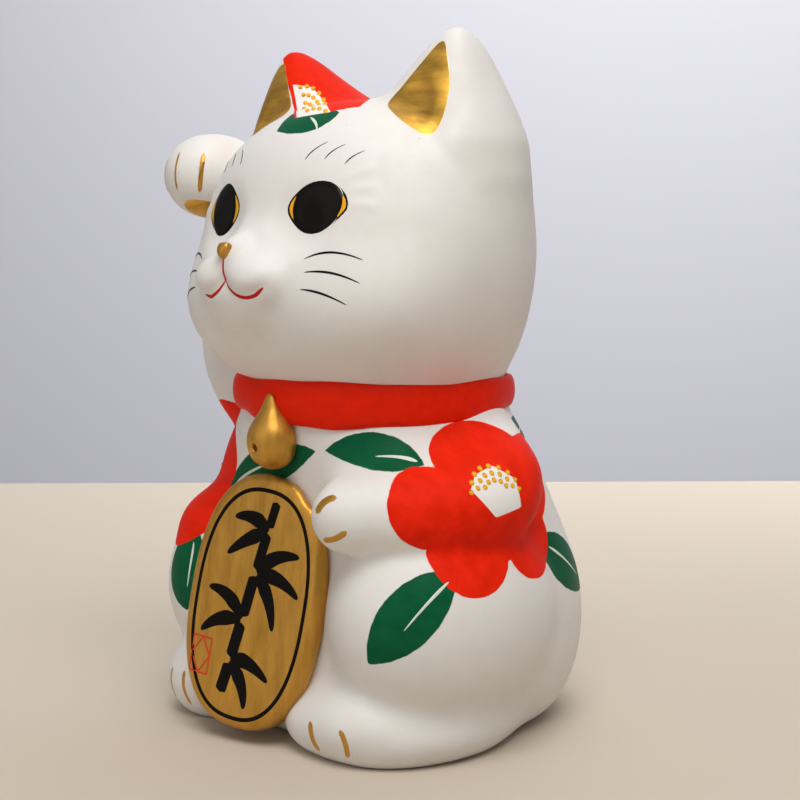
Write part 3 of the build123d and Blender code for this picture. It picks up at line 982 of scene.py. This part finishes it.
def add_paintwork(body, head, gold, pearl, yellow):
    add_marks("claw_lines", [stroke(view, body, path, w, 0.12, 0.12) for view, path, w in CLAWS], gold)
    veins = [stroke(view, body, path, width, 0.2, 0.8) for view, path, width in VEINS]
    view, path, width = CROWN_VEIN
    veins.append(stroke(view, head, path, width, 0.2, 0.6))
    add_marks("leaf_veins", veins, pearl)
    dots = []
    for view, tree, places, radius in (
        (LEFT_FLANK, body, LEFT_POLLEN, POLLEN_RADIUS),
        (RIGHT_FLANK, body, RIGHT_POLLEN, POLLEN_RADIUS),
        (THREE_QUARTER, head, CROWN_POLLEN, CROWN_POLLEN_RADIUS),
    ):
        dots += [blob(view, tree, at, round_outline(radius), 0.1, 0.3, 3, 14) for at in places]
    add_marks("pollen_dots", dots, yellow)


KOBAN_VIEW = View(12.0)  # the coin's face is turned and rolled by these angles
KOBAN_ROLL = math.radians(5.0)
KOBAN_LINE_INSET = 4.4
KOBAN_SQUARENESS = 2.45
BORDER_STEPS = 48
BORDER_START = 0.7  # radians round from the coin's right, where the brush met its own start
BAMBOO = [
    ([(-4.6, -23.0), (-3.2, -15.6)], 3.9),
    ([(-3.0, -14.0), (-1.6, -5.0)], 3.9),
    ([(-1.3, -3.4), (0.2, 7.0)], 3.7),
    ([(0.5, 8.6), (2.0, 18.0)], 3.4),
    ([(2.3, 19.4), (3.4, 26.0)], 3.0),
]
BAMBOO_LEAVES = [
    [(0.8, 8.0), (6.0, 12.6), (13.0, 14.0)], [(1.0, 7.4), (7.6, 7.6), (14.6, 4.2)],
    [(0.6, 7.0), (5.4, 2.6), (8.4, -5.0)],
    [(-1.6, -4.0), (-7.0, 0.6), (-13.6, 1.8)], [(-1.8, -4.6), (-8.4, -5.4), (-14.0, -9.4)],
    [(-3.0, -14.6), (2.6, -14.2), (9.6, -17.4)], [(-3.2, -15.2), (1.4, -19.4), (3.6, -25.4)],
    [(2.2, 18.6), (-3.0, 21.0), (-9.0, 20.4)], [(2.0, 18.2), (-3.6, 15.6), (-9.6, 11.0)],
]
STAMP_MIDDLE = (-12.8, -15.4)
STAMP_HALF = (3.0, 4.5)


def coin_face():
    """Middle and half size of the coin, seen square-on in KOBAN_VIEW."""
    points, _ = node_mesh("koban")
    seen_flat = np.stack([KOBAN_VIEW.across(points), points[:, 2]], axis=1)
    low, high = seen_flat.min(0), seen_flat.max(0)
    return (low + high) / 2.0, (high - low) / 2.0


def add_koban_ink(tree, ink, stamp):
    """Inked border, a plain bamboo spray and a small red stamp of a diamond in a frame."""
    middle, halves = coin_face()

    def moved(path, scale=1.12):
        lean, up = scale * math.sin(KOBAN_ROLL), scale * math.cos(KOBAN_ROLL)
        return [(middle[0] + s * up + z * lean, middle[1] + z * up - s * lean) for s, z in path]

    border = []
    for step in range(BORDER_STEPS + 1):
        angle = 2.0 * math.pi * step / BORDER_STEPS + BORDER_START
        turns = (math.cos(angle), math.sin(angle))
        shape = [math.copysign(abs(turn) ** (2.0 / KOBAN_SQUARENESS), turn) for turn in turns]
        border.append(tuple((half - KOBAN_LINE_INSET) * k for half, k in zip(halves, shape)))
    marks = [stroke(KOBAN_VIEW, tree, moved(border, 1.0), 1.15, 0.0, 0.0)]
    marks += [stroke(KOBAN_VIEW, tree, moved(path), width, 0.08, 0.08) for path, width in BAMBOO]
    marks += [stroke(KOBAN_VIEW, tree, moved(path), 4.6, 0.4, 0.75) for path in BAMBOO_LEAVES]
    add_marks("koban_ink", marks, ink)
    (s0, z0), (half_s, half_z) = STAMP_MIDDLE, STAMP_HALF
    frame_corners = [(-1.0, -1.0), (1.0, -1.0), (1.0, 1.0), (-1.0, 1.0)]
    diamond_corners = [(0.0, -1.0), (1.0, 0.0), (0.0, 1.0), (-1.0, 0.0)]
    edges = []
    for corners in (frame_corners, diamond_corners):
        for ends in zip(corners, corners[1:] + corners[:1]):
            path = [(s0 + half_s * s, z0 + half_z * z) for s, z in ends]
            edges.append(stroke(KOBAN_VIEW, tree, moved(path), 0.6, 0.0, 0.0))
    add_marks("koban_stamp", edges, stamp)


# ---------------------------------------------------------------- building
def build():
    ceramic = painted_ceramic("painted_ceramic")
    gold = gold_paint("gold_paint", (0.1, 0.15, 0.0))
    bell_gold = gold_paint("bell_gold", (0.0, 0.4, 0.2))
    ink = coat_of_paint("black_gloss", INK, 0.34, 0.1)
    line_ink = coat_of_paint("black_line", INK, 0.4)
    yolk = coat_of_paint("iris_yellow", YOLK, 0.35)
    pearl = coat_of_paint("pale_line", (0.72, 0.76, 0.68), 0.5)
    scarlet = coat_of_paint("red_line", (0.55, 0.02, 0.02), 0.4)
    stamp = coat_of_paint("stamp_red", (0.62, 0.07, 0.02), 0.5)
    yellow = coat_of_paint("pollen_yellow", (0.84, 0.44, 0.03), 0.45)
    red = coat_of_paint("collar_red", RED, 0.46)

    fine, coarse = Field(BODY_NODES, BODY_VOXEL), Field(BODY_NODES, 2.0 * BODY_VOXEL)
    body = add_skin(fine, *body_skin(fine, coarse), body_paint, ceramic)
    fine, coarse = Field(HEAD_NODES, HEAD_VOXEL), Field(HEAD_NODES, 2.0 * HEAD_VOXEL)
    head = add_skin(fine, *head_skin(fine, coarse), head_paint, ceramic)
    add_solid("collar", 0.7, 0.0, red, shape=wavy_band)
    add_solid("bell", 0.35, 0.0, bell_gold, shape=pierced_bell)
    koban = add_solid("koban", 0.5, 1.7, gold)
    add_solid("base_stopper", 0.4, 0.5, soft_rubber("stopper_rubber"), "stopper", ringed)
    add_face(head, ink, yolk, pearl, scarlet, gold)
    add_paintwork(body, head, gold, pearl, yellow)
    add_koban_ink(koban, line_ink, stamp)


COLLAR_DROP = 2.6
BELL_HOLE_UP = 6.6  # the sound hole over the bell's lowest point
STOPPER_RINGS = (6.0, 11.5)


def wavy_band(field, array):
    """Uneven swelling round the collar, which is painted deeper down the cat's left front."""
    angle = np.arctan2(field.y, field.x)
    facing = np.cos(angle - math.atan2(*THREE_QUARTER.out[1::-1]))
    lowered = np.roll(array, -int(round(COLLAR_DROP / field.voxel)), axis=2)
    lowered = lowered + 5.0 * (1.0 - smoothstep(facing, -0.1, 0.5))
    array = melt(array, lowered, 1.0)
    return array - 0.2 * np.sin(5.0 * angle + 0.6) - 0.12 * np.sin(11.0 * angle)


def pierced_bell(field, array):
    """Sound hole and slit on the outward face of the bell."""
    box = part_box("bell")
    x = (box[0].x + box[1].x) / 2.0 / MM
    front = box[0].y / MM
    low = box[0].z / MM
    hole_z = low + BELL_HOLE_UP
    hole = rod(field, (x, front - 2.0, hole_z), (x, front + 2.5, hole_z), 1.1)
    slit = rod(field, (x, front - 1.0, hole_z), (x, front + 3.6, low + 0.6), 0.45)
    return carve(carve(array, hole, 0.4), slit, 0.3)


def ringed(field, array):
    """Two moulded rings on the stopper's flange."""
    for radius in STOPPER_RINGS:
        groove = np.hypot(np.hypot(field.x, field.y) - radius, field.z - STOPPER_LOW[2]) - 0.5
        array = carve(array, groove, 0.4)
    return array


# ---------------------------------------------------------------- studio
def sheet(name, corners, material):
    """A flat studio surface through corners given in metres."""
    mesh = bpy.data.meshes.new(name)
    mesh.from_pydata(corners, [], [tuple(range(len(corners)))])
    mesh.materials.append(material)
    surface = bpy.data.objects.new(name, mesh)
    bpy.context.scene.collection.objects.link(surface)
    return surface


def aimed(item, place, target):
    """Puts a lamp or camera at a place and points it at a target."""
    item.location = place
    item.rotation_euler = (Vector(target) - Vector(place)).to_track_quat("-Z", "Y").to_euler()


def add_lamp(name, place, target, size, power, colour):
    data = bpy.data.lights.new(name, "AREA")
    data.shape = "DISK"
    data.size = size
    data.energy = power
    data.color = colour
    lamp = bpy.data.objects.new(name, data)
    bpy.context.scene.collection.objects.link(lamp)
    aimed(lamp, place, target)
    return lamp


# Studio, in metres: the camera and the lamps are placed along and across its line of sight.
VIEW_DISTANCE = 0.446
VIEW_HEIGHT = 0.135
AIM_HEIGHT = 0.0939
AIM_ASIDE = 0.00886
LENS = 67.95  # millimetres
TABLE_DEPTH = 0.47
WALL_DEPTH = 1.9
TABLE_NEAR = -2.5
STUDIO_HALF_WIDTH = 4.0
WALL_LOW = -2.0
WALL_HIGH = 3.0
FIGURE_MIDDLE = (0.0, 0.0, 0.10)


def add_studio():
    """Pale table and wall, soft lamps, a dim sky and the camera, all in metres."""
    turn = math.radians(CAMERA_TURN)
    ahead = Vector((-math.sin(turn), math.cos(turn), 0.0))
    right = Vector((math.cos(turn), math.sin(turn), 0.0))
    up = Vector((0.0, 0.0, 1.0))

    def spot(along, across, height):
        return tuple(ahead * along + right * across + up * height)

    def edge(along, height, side):
        """Both ends of a sheet's edge, from left to right if side is 1, or back if it is -1."""
        return [spot(along, end * side * STUDIO_HALF_WIDTH, height) for end in (-1.0, 1.0)]

    table = sheet(
        "table", edge(TABLE_NEAR, 0.0, 1.0) + edge(TABLE_DEPTH, 0.0, -1.0),
        plain_paper("table_paper", (0.60, 0.52, 0.42)),
    )
    wall = sheet(
        "wall", edge(WALL_DEPTH, WALL_LOW, 1.0) + edge(WALL_DEPTH, WALL_HIGH, -1.0),
        plain_paper("wall_paper", (0.72, 0.71, 0.75)),
    )
    lamps = [
        add_lamp("key", spot(-0.45, 0.05, 0.85), FIGURE_MIDDLE, 0.60, 5.8, (1.0, 0.985, 0.955)),
        add_lamp("fill", spot(-0.60, -0.75, 0.45), FIGURE_MIDDLE, 0.90, 1.4, (0.97, 0.98, 1.0)),
        add_lamp("top", spot(0.25, 0.0, 1.10), FIGURE_MIDDLE, 0.80, 1.4, (1.0, 1.0, 1.0)),
        add_lamp("wall_wash", spot(0.9, 0.5, 1.2), spot(WALL_DEPTH, 0.5, 0.3), 2.0, 26.0, (0.96, 0.97, 1.0)),
    ]
    world = bpy.data.worlds.new("studio")
    bpy.context.scene.world = world
    world.use_nodes = True
    back = world.node_tree.nodes["Background"]
    back.inputs["Color"].default_value = (0.93, 0.94, 1.0, 1.0)
    back.inputs["Strength"].default_value = 0.28
    camera = bpy.data.objects.new("camera", bpy.data.cameras.new("camera"))
    camera.data.lens = LENS
    camera.data.clip_end = 20.0
    bpy.context.scene.collection.objects.link(camera)
    aimed(camera, spot(-VIEW_DISTANCE, 0.0, VIEW_HEIGHT), spot(0.0, AIM_ASIDE, AIM_HEIGHT))
    bpy.context.scene.camera = camera
    bpy.context.scene.view_settings.view_transform = "Standard"


build()
add_studio()
